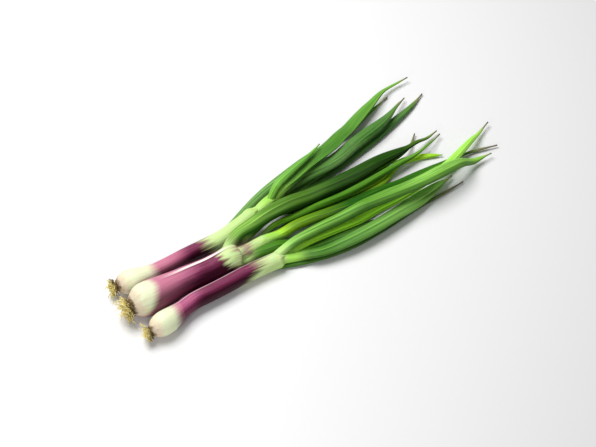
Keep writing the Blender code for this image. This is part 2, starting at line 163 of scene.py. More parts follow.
# How a leaf looks: its colour where it has left the stem, at its middle and towards its end, its
# grey bloom, its lengthwise fold's depth (a ridge if below zero) and place in degrees round from its
# back edge, its turn over its length in degrees, how dry its tip is, how much painted shade darkens
# it on the side away from the light, the share of its length over which it keeps its first colour,
# and the length over which it still has the sheath's colour.
Look = namedtuple(
    "Look", "near mid far bloom fold fold_place turn dry under hold bare", defaults=(0.22, 34.0)
)
LOOKS = {
    "back_leaf_1": Look(
        (0.2, 0.42, 0.11), (0.16, 0.36, 0.08), (0.11, 0.28, 0.04), 0.5, 0.1, 95, 10, 0.5, 0.2,
    ),
    "back_leaf_2": Look(
        (0.14, 0.34, 0.06), (0.06, 0.2, 0.03), (0.07, 0.21, 0.05), 0.5, 0.12, 120, -12, 0.6, 0.3, bare=58,
    ),
    "back_leaf_3": Look(
        (0.26, 0.5, 0.1), (0.12, 0.31, 0.06), (0.1, 0.27, 0.06), 0.8, 0.14, 100, 10, 0.7, 0.35, bare=70,
    ),
    "back_leaf_4": Look(
        (0.20, 0.44, 0.07), (0.09, 0.28, 0.035), (0.20, 0.50, 0.07),
        0.15, -0.16, 130, -8, 0.4, 0.2, bare=46,
    ),
    "back_leaf_5": Look(
        (0.32, 0.66, 0.06), (0.20, 0.50, 0.07), (0.14, 0.42, 0.05), 0.1, 0.1, 110, 6, 0.2, 0.0, bare=30,
    ),
    "middle_leaf_1": Look(
        (0.1, 0.28, 0.02), (0.04, 0.14, 0.012), (0.55, 1.0, 0.03), 0.1, 0.12, 120, 8, 0.0, 0.1,
    ),
    "middle_leaf_2": Look(
        (0.14, 0.32, 0.03), (0.06, 0.24, 0.012), (0.04, 0.18, 0.010), 0.1, 0.10, 110, -8, 0.3, 0.4,
    ),
    "middle_leaf_3": Look(
        (0.62, 1.0, 0.04), (0.015, 0.12, 0.001), (0.06, 0.24, 0.01),
        0.0, 0.12, 100, 10, 1.4, 0.5, hold=0.15, bare=24,
    ),
    "middle_leaf_4": Look(
        (0.34, 0.80, 0.03), (0.08, 0.27, 0.01), (0.2, 0.5, 0.05), 0.0, 0.12, 130, -10, 0.4, 0.45,
    ),
    "middle_leaf_5": Look(
        (0.2, 0.5, 0.02), (0.035, 0.15, 0.004), (0.25, 0.6, 0.02), 0.1, 0.1, 120, 10, 0.8, 0.8,
    ),
    "middle_leaf_6": Look(
        (0.33, 0.62, 0.1), (0.028, 0.105, 0.003), (0.02, 0.08, 0.002),
        0.0, 0.12, 100, 8, 0.3, 1.0, hold=0.34,
    ),
    "front_leaf_1": Look(
        (0.14, 0.34, 0.05), (0.12, 0.31, 0.05), (0.10, 0.25, 0.04), 0.3, 0.10, 120, 8, 1.8, 0.4,
    ),
    "front_leaf_2": Look(
        (0.13, 0.38, 0.02), (0.07, 0.24, 0.02), (0.10, 0.24, 0.04), 0.1, 0.10, 110, -6, 0.5, 0.4,
    ),
    "front_leaf_3": Look(
        (0.04, 0.15, 0.008), (0.11, 0.31, 0.04), (0.34, 0.68, 0.15),
        0.5, 0.14, 110, 12, 0.5, 0.2, hold=0.14,
    ),
    "front_leaf_4": Look(
        (0.5, 1.0, 0.06), (0.42, 1.0, 0.05), (0.52, 1.0, 0.16), 0.0, 0.1, 125, -8, 0.6, 0.0,
    ),
    "front_leaf_5": Look(
        (0.5, 0.92, 0.22), (0.13, 0.37, 0.018), (0.46, 0.9, 0.18), 0.3, 0.12, 95, 10, 0.25, 0.7,
    ),
}

# Where the skin of each onion changes colour along X, in layout millimetres: first blush, full
# pink, deep purple, where the purple starts and ends its fade, where the lime green begins and is
# full, and the place of a faint pink ring round the inner sheath. Then the ring's strength, how far
# the end of the purple slides forward per unit of depth, and the same for its first blush.
Skin = namedtuple("Skin", "blush pink deep fade pale lime green ring ring_strength slide tilt")
SKINS = {
    "back": Skin(-150, -137, -104, -95, -78, -46, -6, -40, 0.10, 0.7, 0.0),
    "middle": Skin(-178, -166, -121, -85, -72, -42, -33, -57.5, 0.92, 0.95, -1.2),
    "front": Skin(-157, -145.5, -143, -78, -57, -42, -26, -50, 0.10, -2.0, 0.0),
}


def unit(vectors):
    """Vectors along the last axis brought to length one."""
    return vectors / np.linalg.norm(vectors, axis=-1, keepdims=True)


def resample(line, at, source):
    """Read a line of points, known at the places in source, at other places."""
    return np.stack([np.interp(at, source, axis) for axis in line.T], axis=1)


def smooth_line(points, count):
    """Return count points evenly spaced along a smooth line through the given points."""
    knots = np.asarray(points, dtype=float)
    along = np.concatenate([[0.0], np.cumsum(np.linalg.norm(np.diff(knots, axis=0), axis=1))])
    slopes = np.gradient(knots, along, axis=0)
    fine = np.linspace(0.0, along[-1], 600)
    piece = np.clip(np.searchsorted(along, fine, side="right") - 1, 0, len(along) - 2)
    span = (along[piece + 1] - along[piece])[:, None]
    u = (fine - along[piece])[:, None] / span
    line = (
        (2 * u**3 - 3 * u**2 + 1) * knots[piece]
        + (u**3 - 2 * u**2 + u) * span * slopes[piece]
        + (3 * u**2 - 2 * u**3) * knots[piece + 1]
        + (u**3 - u**2) * span * slopes[piece + 1]
    )
    length = np.concatenate([[0.0], np.cumsum(np.linalg.norm(np.diff(line, axis=0), axis=1))])
    even = np.linspace(0.0, length[-1], count)
    return resample(line, even, length)


def ease(t):
    """Run smoothly from 0 to 1 as t does, and stay there."""
    t = np.clip(t, 0.0, 1.0)
    return t * t * (3.0 - 2.0 * t)


def stem_radius(stem, x):
    """Radius of an onion at x: the root end, the bulb, the neck and the sheaths in turn."""
    root_x = stem.plan[0][0]
    end_x = stem.plan[-1][0]
    back = np.clip((stem.bulb_x - x) / (stem.bulb_x - root_x), 0.0, 1.0)
    root_side = stem.bulb_radius * (1.0 - (1.0 - ROOT_END) * back**2.4)
    shoulder = stem.bulb_radius + (stem.neck_radius - stem.bulb_radius) * ease(
        (x - stem.bulb_x) / (stem.neck_x - stem.bulb_x)
    )
    thinned = (stem.neck_radius - stem.inner_radius) * ease((x - stem.sheath_x) / SHEATH_FADE + 0.5)
    beyond = np.clip((x - stem.sheath_x) / (end_x - stem.sheath_x), 0.0, 1.0)
    taper = thinned + (stem.inner_radius - stem.end_radius) * beyond
    swell = COLLAR_SWELL * np.exp(-(((x - stem.sheath_x + 6.0) / 5.0) ** 2))
    return np.where(x < stem.bulb_x, root_side, shoulder - taper + swell)


def stem_line(stem, count):
    """Centre line of an onion in three dimensions, from its root end to its last leaf."""
    plan = smooth_line(stem.plan, count)
    x = plan[:, 0]
    drop = ease((x - stem.bulb_x) / (stem.plan[-1][0] - stem.bulb_x))
    rest = stem.bulb_radius - FLAT_SPOT
    height = rest + (stem.end_height - rest) * drop
    clear = (FLAT_SPOT + NECK_CLEAR) * ease((x - stem.bulb_x) / (stem.neck_x - stem.bulb_x))
    return np.column_stack([plan, np.maximum(height, stem_radius(stem, x) - FLAT_SPOT + clear)])


def leaf_half_width(leaf, t):
    """Half width of a leaf at share t of its length: a narrow base, a long body and a fine tip.

    The body eases out from its base and ends as one less a power. The tail is its own share and
    ends bluntly. The two are joined as the fourth root of the sum of their fourth powers.
    """
    shape = leaf.outline
    swell = shape.base + (1.0 - shape.base) * ease(t / shape.widest)
    body = 1.0 - np.clip((t - shape.widest) / (shape.end - shape.widest), 0.0, 1.0) ** shape.power
    tail = shape.tail * (1.0 - np.clip(t, 0.0, 1.0) ** 24)
    return np.maximum(leaf.half_width * swell * (body**4 + tail**4) ** 0.25, TIP_RADIUS)


def leaf_half_thick(leaf, t):
    """Half thickness of a leaf at share t: round at its base, flatter where it lies open."""
    roundness = ease(1.0 - t / 0.3)
    flat = leaf.half_thick / leaf.half_width
    share = flat + (ROUND_BASE - flat) * roundness
    return np.maximum(leaf_half_width(leaf, t) * share, TIP_RADIUS)


def pile_height(line, half_width, half_thick, under):
    """Least height at which each point of a leaf clears the floor and the bodies under it.

    Two ovals laid side by side touch where the height between their centres is the sum of their
    half thicknesses times the height of a unit circle at their distance over the sum of widths.
    """
    need = half_thick.copy()
    for other, other_width, other_thick in under:
        apart = np.linalg.norm(line[:, None, :2] - other[None, :, :2], axis=2)
        reach = half_width[:, None] + other_width[None, :] + PILE_GAP
        share = np.clip(1.0 - (apart / reach) ** 2, 0.0, 1.0) ** 0.5
        lift = (half_thick[:, None] + other_thick[None, :] + PILE_GAP) * share
        need = np.maximum(need, np.where(share > 0.0, other[None, :, 2] + lift, 0.0).max(axis=1))
    return need


def stiffen(height, spacing):
    """Bridge the dips of a height line: its highest value nearby, then a mean of the same reach."""
    reach = max(1, int(round(PILE_REACH / spacing)))
    padded = np.pad(height, 2 * reach, mode="edge")
    windows = np.lib.stride_tricks.sliding_window_view(padded, 2 * reach + 1)
    highest = windows.max(axis=1)
    weight = np.hanning(2 * reach + 3)[1:-1]
    return np.convolve(highest, weight / weight.sum(), mode="valid")


def lay_leaf(leaf, stem, under_own, under_others):
    """Lay one leaf on the pile and return its centre line, half widths and half thicknesses."""
    core = stem_line(stem, 200)
    begin = np.array([np.interp(leaf.start, core[:, 0], core[:, k]) for k in (0, 1)])
    plan = smooth_line([begin, *leaf.plan], LAY_POINTS)
    t = np.linspace(0.0, 1.0, LAY_POINTS)
    length = np.linalg.norm(np.diff(plan, axis=0), axis=1).sum()
    half_width = leaf_half_width(leaf, t)
    half_thick = leaf_half_thick(leaf, t)
    need = pile_height(plan, half_width, half_thick, under_others)
    own = pile_height(plan, half_width, half_thick, under_own)
    need = np.where(t * length > BASE_FREE, np.maximum(need, own), need)
    need = stiffen(need, length / (LAY_POINTS - 1)) + leaf.tip_lift * t**3
    inside = np.interp(plan[:, 0], core[:, 0], core[:, 2])
    weight = ease(t * length / BASE_FREE)
    height = np.maximum(inside * (1.0 - weight) + need * weight, half_thick)
    return np.column_stack([plan, height]), half_width, half_thick


def lay_all():
    """Lay every leaf in order and return each one's line, half widths and half thicknesses."""
    stems = {}
    for name, stem in STEMS.items():
        line = stem_line(stem, 160)
        radius = stem_radius(stem, line[:, 0])
        stems[name] = (line, radius, radius)
    laid = {}
    for name, leaf in LEAVES.items():
        own = [laid[key] for key in laid if LEAVES[key].onion == leaf.onion]
        others = [laid[key] for key in laid if LEAVES[key].onion != leaf.onion]
        others += [stems[key] for key in stems if key != leaf.onion]
        laid[name] = lay_leaf(leaf, STEMS[leaf.onion], own, others)
    return laid


def ring_axes(line, turn=0.0):
    """Level side direction and upward direction of every ring, turned about the line by turn."""
    ahead = unit(np.gradient(line, axis=0))
    across = unit(np.cross([0.0, 0.0, 1.0], ahead))
    up = np.cross(ahead, across)
    turn = (turn * np.ones(len(line)))[:, None]
    return np.cos(turn) * across + np.sin(turn) * up, np.cos(turn) * up - np.sin(turn) * across


def ovals(line, side, rise, wide, tall):
    """Rings of points round a line, from each point's reach sideways and upward."""
    return line[:, None, :] + wide[..., None] * side[:, None, :] + tall[..., None] * rise[:, None, :]


def quad_grid(count, sides):
    """The ring of each quad of a tube, the quads' corners and the map's share of the way round."""
    row, col = np.meshgrid(np.arange(count - 1), np.arange(sides), indexing="ij")
    after = (col + 1) % sides
    lower, upper = row * sides, (row + 1) * sides
    quads = np.stack([lower + col, lower + after, upper + after, upper + col], -1).reshape(-1, 4)
    around = np.stack([col, col + 1, col + 1, col], -1).reshape(-1) / sides
    return row, quads, around


def smooth_mesh(name, points, faces, corner_map):
    """A smooth mesh in metres, with its map, from points in layout millimetres."""
    points[:, :2] -= BUNCH_MIDDLE
    mesh = bpy.data.meshes.new(name)
    mesh.from_pydata((points * MM).tolist(), [], faces)
    mesh.uv_layers.new(name="UVMap").data.foreach_set("uv", corner_map.ravel())
    mesh.polygons.foreach_set("use_smooth", np.ones(len(mesh.polygons), dtype=bool))
    mesh.update()
    return mesh


def ringed_mesh(name, rings, share, lowest=0.0):
    """Close rings of points, kept above a lowest height, into a skin with a pole at each end.

    The map's first value is the share of the way round and its second is the share given per ring.
    """
    rings[..., 2] = np.maximum(rings[..., 2], lowest)
    count, sides = rings.shape[:2]
    points = np.concatenate([rings.reshape(-1, 3), rings[:1].mean(axis=1), rings[-1:].mean(axis=1)])
    row, quads, around = quad_grid(count, sides)
    k = np.arange(sides)
    last = (count - 1) * sides
    first_cap = np.stack([np.full(sides, count * sides), (k + 1) % sides, k], -1)
    last_cap = np.stack([np.full(sides, count * sides + 1), last + k, last + (k + 1) % sides], -1)
    along = np.stack([share[row], share[row], share[row + 1], share[row + 1]], -1).reshape(-1)
    first_round = np.stack([k + 0.5, k + 1, k], -1).reshape(-1) / sides
    last_round = np.stack([k + 0.5, k, k + 1], -1).reshape(-1) / sides
    across = np.concatenate([around, first_round, last_round])
    ahead = np.concatenate([along, np.full(3 * sides, share[0]), np.full(3 * sides, share[-1])])
    faces = [*quads.tolist(), *first_cap.tolist(), *last_cap.tolist()]
    return smooth_mesh(name, points, faces, np.column_stack([across, ahead]))


def add(name, data):
    """Add an object to the scene."""
    made = bpy.data.objects.new(name, data)
    bpy.context.scene.collection.objects.link(made)
    return made


def place(name, mesh, material, stands_for):
    """Add a mesh as a piece that rides with the bunch and stands for its CAD node."""
    piece = add(name, mesh)
    mesh.materials.append(material)
    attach(piece, "root")
    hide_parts(stands_for)


class Web:
    """A material's or group's nodes, with short calls for the kinds used here."""

    def __init__(self, tree):
        self.tree = tree

    def put(self, value, socket):
        """Set a socket to a value, or link it from another socket."""
        if isinstance(value, bpy.types.NodeSocket):
            self.tree.links.new(value, socket)
        elif value is not None:
            socket.default_value = value

    def node(self, kind, inputs=(), **settings):
        """Add a node with settings and give its inputs in order or by name."""
        made = self.tree.nodes.new(kind)
        for key, value in settings.items():
            setattr(made, key, value)
        pairs = inputs.items() if isinstance(inputs, dict) else enumerate(inputs)
        for key, value in pairs:
            self.put(value, made.inputs[key])
        return made

    def math(self, operation, *values, clamp=False):
        """One step of arithmetic."""
        return self.node("ShaderNodeMath", values, operation=operation, use_clamp=clamp).outputs[0]

    def times(self, first, second, clamp=False):
        """The product of two numbers."""
        return self.math("MULTIPLY", first, second, clamp=clamp)

    def plus(self, first, second):
        """The sum of two numbers."""
        return self.math("ADD", first, second)

    def minus(self, first, second):
        """What is left of the first number without the second."""
        return self.math("SUBTRACT", first, second)

    def swing(self, value, amount):
        """A noise from 0 to 1 made to swing about zero, by the amount from end to end."""
        return self.times(self.minus(value, 0.5), amount)

    def parts(self, vector):
        """The X, Y and Z of a vector."""
        return self.node("ShaderNodeSeparateXYZ", [vector]).outputs

    def maps(self):
        """A piece's own map and its place in the bunch."""
        uv = self.node("ShaderNodeUVMap", uv_map="UVMap").outputs[0]
        return uv, self.node("ShaderNodeTexCoord").outputs["Object"]

    def wire(self, shader, color, rough, height, strength, distance):
        """Give the shader its colour, its roughness and a surface raised by a height."""
        names = {"Strength": strength, "Distance": distance, "Height": height}
        bump = self.node("ShaderNodeBump", names).outputs[0]
        for value, label in ((color, "Base Color"), (rough, "Roughness"), (bump, "Normal")):
            self.put(value, shader.inputs[label])

    def span(self, value, low, high, to_low=0.0, to_high=1.0):
        """Bring a value from one range to another, eased at both ends."""
        names = {"Value": value, "From Min": low, "From Max": high, "To Min": to_low, "To Max": to_high}
        return self.node("ShaderNodeMapRange", names, interpolation_type="SMOOTHSTEP").outputs[0]

    def mix(self, factor, first, second, blend="MIX"):
        """Mix two colours."""
        made = self.tree.nodes.new("ShaderNodeMix")
        made.data_type = "RGBA"
        made.blend_type = blend
        for value, place_in in ((factor, 0), (first, 6), (second, 7)):
            if isinstance(value, tuple) and len(value) == 3:
                value = (*value, 1.0)
            self.put(value, made.inputs[place_in])
        return made.outputs[2]

    def noise(self, vector, scale, detail=2.0, roughness=0.5):
        """Smooth noise from 0 to 1."""
        names = {"Vector": vector, "Scale": scale, "Detail": detail, "Roughness": roughness}
        return self.node("ShaderNodeTexNoise", names).outputs["Fac"]

    def ramp(self, factor, stops):
        """A run of colours, as pairs of place and colour."""
        made = self.node("ShaderNodeValToRGB", [factor])
        line = made.color_ramp.elements
        while len(line) < len(stops):
            line.new(0.5)
        for element, (where, color) in zip(line, stops):
            element.position = where
            element.color = (*color, 1.0)
        return made.outputs[0]


def new_group(name, vectors, numbers, outputs):
    """Start a node group with vector inputs, number inputs and their values, and named outputs."""
    tree = bpy.data.node_groups.new(name, "ShaderNodeTree")
    for label in vectors:
        tree.interface.new_socket(label, in_out="INPUT", socket_type="NodeSocketVector")
    for label, value in numbers.items():
        socket = tree.interface.new_socket(label, in_out="INPUT", socket_type="NodeSocketFloat")
        socket.default_value = value
    for label in outputs:
        kind = "NodeSocketColor" if label == "Color" else "NodeSocketFloat"
        tree.interface.new_socket(label, in_out="OUTPUT", socket_type=kind)
    web = Web(tree)
    start = tree.nodes.new("NodeGroupInput")
    end = tree.nodes.new("NodeGroupOutput")
    return tree, web, start.outputs, end.inputs


# Painted shade darkens every skin on the side turned away from this lit side.
LIT_SIDE = 1.15  # how far round from its back edge a piece's lit side is, in radians


def streak_group():
    """Streaks that run lengthwise, and painted shade by how far round a place is from the lit side.

    The streaks are noise on a drum, sampled at cosine and sine of the way round. The mask of painted
    shade is an eased cosine of the way round from the lit side, 0 there and 1 from about a quarter turn
    away.
    """
    tree, web, given, made = new_group(
        "streaks_and_painted_shade", ["Map"], {"Round": 6.0, "Along": 4.0, "Seed": 0.0}, ["Broad", "Fine", "Under"]
    )
    parts = web.parts(given["Map"])
    angle = web.times(parts[0], 2.0 * math.pi)
    # painted shade mask: 0 on the lit side, 1 from about a quarter turn away
    facing = web.math("COSINE", web.minus(angle, LIT_SIDE))
    web.put(web.span(facing, 0.85, 0.05), made["Under"])
    for label, finer, drift in (("Broad", 1.0, 1.0), ("Fine", 4.5, 1.6)):
        radius = web.times(given["Round"], finer)
        x = web.times(web.math("COSINE", angle), radius)
        y = web.times(web.math("SINE", angle), radius)
        z = web.times(parts[1], web.times(given["Along"], drift))
        z = web.plus(z, given["Seed"])
        on_drum = web.node("ShaderNodeCombineXYZ", [x, y, z]).outputs[0]
        web.put(web.noise(on_drum, 1.0, 2.0, 0.55), made[label])
    return tree


def bloom_group():
    """Waxy bloom in cloudy patches, rubbed off here and there: two noises by place, multiplied."""
    tree, web, given, made = new_group("waxy_bloom", ["Place"], {"Scale": 40.0, "Amount": 0.5}, ["Mask"])
    broad = web.noise(given["Place"], given["Scale"], 3.0, 0.6)
    fine = web.noise(given["Place"], web.times(given["Scale"], 9.0), 3.0, 0.7)
    cloud = web.span(broad, 0.32, 0.62)
    rubbed = web.span(fine, 0.30, 0.60, 0.55, 1.0)
    mask = web.times(web.times(cloud, rubbed), given["Amount"], clamp=True)
    web.put(mask, made["Mask"])
    return tree


def film_group():
    """The sheath's free edge: a pale rim before a place round the drum, painted shade in the groove after.

    The rim is partly the film's own pale colour and partly painted highlight.
    """
    tree, web, given, made = new_group(
        "sheath_rim_and_groove_shade", [], {"Around": 0.0, "Along": 0.0, "Edge": 0.1}, ["Strip", "Groove_Shade"]
    )
    wave = web.times(web.math("SINE", web.times(given["Along"], 25.0)), 0.016)
    off = web.minus(web.minus(given["Around"], given["Edge"]), wave)
    rim_and_highlight = web.times(web.span(off, -0.056, -0.040), web.span(off, 0.002, -0.004))
    groove_shade = web.times(web.span(off, -0.002, 0.003), web.span(off, 0.020, 0.006))
    web.put(rim_and_highlight, made["Strip"])
    web.put(groove_shade, made["Groove_Shade"])
    return tree


SKIN_INPUTS = ("Blush", "Pink", "Deep", "Fade", "Pale", "Lime", "Green", "Ring")
WHITE = (0.80, 0.87, 0.60)
CREAM = (0.74, 0.70, 0.45)
PINK = (0.58, 0.20, 0.30)
# pink darkened by painted shade on the side away from the light
SHADED_PINK = (0.22, 0.07, 0.11)
MAGENTA = (0.46, 0.11, 0.23)
WINE = (0.19, 0.025, 0.08)
DARK = (0.040, 0.001, 0.012)
PALE_START = (0.62, 0.80, 0.36)
PALE = (0.56, 0.78, 0.28)
LIME = (0.38, 0.74, 0.10)
RING = (0.36, 0.20, 0.20)
RING_WIDTH = 0.0055  # how far from its middle the faint ring has mostly gone, in metres
LEVEL = 0.012  # the height at which no edge of a colour slides, in metres


def skin_group():
    """Skin colour by place along X: white, pink, wine, pale green and lime, with streaky edges.

    The place is swayed by the streaks and slides with height. The purple darkens with a sum of painted
    shade on the side away from the light, the way along it and the fine streaks, and painted shade
    deepens the pink there too. The ring is a bell curve.
    """
    numbers = {"Streak": 0.5, "Fine": 0.5}
    numbers.update(dict.fromkeys(("Under", *SKIN_INPUTS, "Ring Strength", "Slide", "Tilt"), 0.0))
    tree, web, given, made = new_group("skin_by_place", ["Place"], numbers, ["Color", "Purple"])
    parts = web.parts(given["Place"])
    along = parts[0]
    sway = web.swing(given["Streak"], 0.030)
    sway = web.plus(sway, web.swing(given["Fine"], 0.016))
    early = web.span(along, given["Deep"], given["Fade"], 0.09, 1.0)
    sway = web.times(sway, early)
    slide = web.mix(early, given["Tilt"], given["Slide"])
    depth = web.times(web.minus(parts[2], LEVEL), slide)
    swayed = web.plus(web.plus(along, sway), depth)
    blush = web.span(swayed, given["Blush"], given["Pink"])
    deep = web.span(swayed, given["Pink"], given["Deep"])
    fade = web.span(swayed, given["Fade"], given["Pale"])
    lime = web.span(swayed, given["Lime"], given["Green"])
    off = web.math("DIVIDE", web.minus(swayed, given["Ring"]), RING_WIDTH)
    ring = web.math("POWER", 2.718, web.times(web.times(off, off), -1.0))
    ring = web.times(ring, given["Ring Strength"], clamp=True)
    white = web.mix(web.span(given["Fine"], 0.35, 0.75, 0.0, 0.35), WHITE, CREAM)
    full = web.math("MULTIPLY_ADD", web.minus(given["Fade"], given["Deep"]), 0.35, given["Deep"])
    going = web.span(swayed, web.plus(given["Pink"], 0.008), full)
    # painted shade away from the light, with the purple's own deepening along it and its streaks
    dark = web.plus(web.times(given["Under"], 0.62), web.times(going, 0.52))
    dark = web.plus(dark, web.swing(given["Fine"], 0.7))
    wine = web.ramp(dark, [(0.10, MAGENTA), (0.52, WINE), (1.05, DARK)])
    # painted shade deepens the pink on the side away from the light
    color = web.mix(blush, white, web.mix(given["Under"], PINK, SHADED_PINK))
    color = web.mix(deep, color, wine)
    pale = web.mix(web.span(swayed, given["Pale"], given["Lime"]), PALE_START, PALE)
    color = web.mix(fade, color, pale)
    color = web.mix(ring, color, RING)
    color = web.mix(lime, color, LIME)
    web.put(color, made["Color"])
    web.put(web.times(blush, web.minus(1.0, fade)), made["Purple"])
    return tree


GROUPS = {
    "streaks": streak_group(),
    "bloom": bloom_group(),
    "skin": skin_group(),
    "film": film_group(),
}


def use_group(web, name, **values):
    """Place a group and give its inputs by name, with underscores for spaces."""
    made = web.tree.nodes.new("ShaderNodeGroup")
    made.node_tree = GROUPS[name]
    for key, value in values.items():
        web.put(value, made.inputs[key.replace("_", " ")])
    return made.outputs


def start_material(name, **values):
    """A new material with its Principled shader and the constants given on its own sockets."""
    material = bpy.data.materials.new(name)
    material.use_nodes = True
    web = Web(material.node_tree)
    shader = material.node_tree.nodes["Principled BSDF"]
    for key, value in values.items():
        shader.inputs[key.replace("_", " ")].default_value = value
    return material, web, shader


def place_x(x):
    """A layout place along X, in millimetres, as it is in the finished bunch, in metres."""
    return (x - BUNCH_MIDDLE[0]) * MM


def skin_color(web, onion, uv, where, seed):
    """The onion's skin colour and streaks for a material of its stem or one of its leaves."""
    # under is the painted shade mask, darkest on the side away from the light
    broad, fine, under = streaks = use_group(web, "streaks", Map=uv, Round=4.0, Along=5.0, Seed=seed)
    skin = SKINS[onion]
    values = {label: place_x(x) for label, x in zip(SKIN_INPUTS, skin)}
    values.update(Ring_Strength=skin.ring_strength, Slide=skin.slide, Tilt=skin.tilt)
    colors = use_group(web, "skin", Place=where, Streak=broad, Fine=fine, Under=under, **values)
    return colors, streaks


EDGE_PLACE = {"back": 5.2, "middle": 1.33, "front": 1.10}  # radians round to the sheath's free edge
# The rim's white is partly the film's own pale colour and partly painted highlight.
FILM_LIGHT = {"back": 0.0, "middle": 1.0, "front": 0.35}  # how white its rim is
FILM_RIM_AND_HIGHLIGHT = (0.86, 0.74, 0.72)
GROOVE_SHADE = (0.05, 0.004, 0.02)
STREAK_GREY = (0.78, 0.80, 0.74)
TABLE_SIDE = (0.50, 0.30, 0.24)
TAN = (0.68, 0.44, 0.36)
SOIL = (0.16, 0.09, 0.04)


def stem_material(onion, seed):
    """Moist satin skin: colour by place, pale and dark streaks, brown at the root, fine ribs.

    The colour carries painted shade on the side away from the light, and at the sheath's edge a
    pale rim that is partly painted highlight, with painted shade in the groove beside it.
    """
    material, web, shader = start_material(
        onion + "_skin", Subsurface_Weight=0.30, Subsurface_Scale=0.005, Specular_IOR_Level=0.18
    )
    uv, where = web.maps()
    colors, streaks = skin_color(web, onion, uv, where, seed)
    fine = streaks["Fine"]
    stem = STEMS[onion]
    root_x = place_x(stem.plan[0][0])
    place_parts = web.parts(where)
    along = place_parts[0]
    grain = web.noise(where, 260.0, 4.0, 0.6)
    soil_edge = web.plus(along, web.swing(grain, 0.010))
    soil = web.span(soil_edge, root_x + 0.0040, root_x - 0.0005)
    tan = web.span(soil_edge, root_x + 0.014, root_x + 0.003, 0.0, 0.55)
    pale_streak = web.span(fine, 0.30, 0.70, 0.0, 0.4)
    color = web.mix(pale_streak, colors["Color"], STREAK_GREY, "MULTIPLY")
    edge = EDGE_PLACE[onion] / (2.0 * math.pi)
    film = use_group(web, "film", Around=web.parts(uv)[0], Along=along, Edge=edge)
    starts = place_x(stem.neck_x - 24.0)
    stops = place_x(stem.sheath_x)
    reach = web.times(web.span(along, starts, starts + 0.035), web.span(along, stops, stops - 0.015))
    # the sheath edge's pale rim, partly its own colour and partly painted highlight, then painted shade in
    # the groove beside it
    light = web.times(film["Strip"], web.times(reach, FILM_LIGHT[onion]))
    color = web.mix(light, color, FILM_RIM_AND_HIGHLIGHT)
    color = web.mix(web.times(web.times(film["Groove_Shade"], reach), 0.7), color, GROOVE_SHADE)
    low = web.span(place_parts[2], 0.008, 0.001, 0.0, 0.5)
    color = web.mix(web.times(low, web.minus(1.0, colors["Purple"])), color, TABLE_SIDE)
    color = web.mix(tan, color, TAN)
    color = web.mix(soil, color, SOIL)
    rough = web.plus(web.span(fine, 0.25, 0.75, 0.36, 0.52), web.times(soil, 0.4))
    height = web.plus(web.times(fine, 0.7), web.times(grain, 0.3))
    web.wire(shader, color, rough, height, 0.35, 0.0004)
    return material


BLOOM = (0.25, 0.42, 0.16)
# green of the painted shade on a leaf's side away from the light
SHADE_GREEN = (0.09, 0.22, 0.06)
VEIN = (0.34, 0.48, 0.22)
BROAD_VEIN = (0.36, 0.50, 0.22)
# green of a leaf's painted sheen
SHEEN_GREEN = (0.30, 0.62, 0.05)
TIP = (0.42, 0.80, 0.06)
# painted shade and painted highlight along a leaf's fold
CREASE_SHADE = (0.24, 0.34, 0.16)
CREASE_HIGHLIGHT = (1.9, 1.8, 1.9)
STRAW = (0.30, 0.27, 0.13)
WITHERED = (0.13, 0.115, 0.085)


def blend3(first, second, share):
    """Mix two colour values as plain numbers."""
    return tuple(a + (b - a) * share for a, b in zip(first, second))


def leaf_phase(leaf, rank):
    """Where the slow waves of a leaf start, so that no two leaves of a stem wave alike."""
    return 1.7 * rank + 0.8 * leaf.half_width


FOLD_SWING = 0.35  # how far the place of a leaf's fold wanders round it, in radians
FOLD_WAVE = 48.0  # and over what length


def leaf_crease(web, uv, look, length, phase):
    """Painted shade as a thin dark line along the leaf's fold and a painted highlight beside it, both
    fading at the ends.
    """
    parts = web.parts(uv)
    wave = web.math("SINE", web.math("MULTIPLY_ADD", parts[1], length / FOLD_WAVE, phase))
    place_of_fold = web.math("MULTIPLY_ADD", wave, FOLD_SWING, math.radians(look.fold_place))
    off = web.minus(web.times(parts[0], 2.0 * math.pi), place_of_fold)
    ends = web.times(web.span(parts[1], 0.12, 0.25), web.span(parts[1], 0.97, 0.85))
    dark = web.times(web.span(off, 0.03, 0.12), web.span(off, 0.62, 0.14))
    light = web.times(web.span(off, -0.42, -0.04), web.span(off, 0.04, -0.04))
    return web.times(dark, ends), web.times(light, ends)


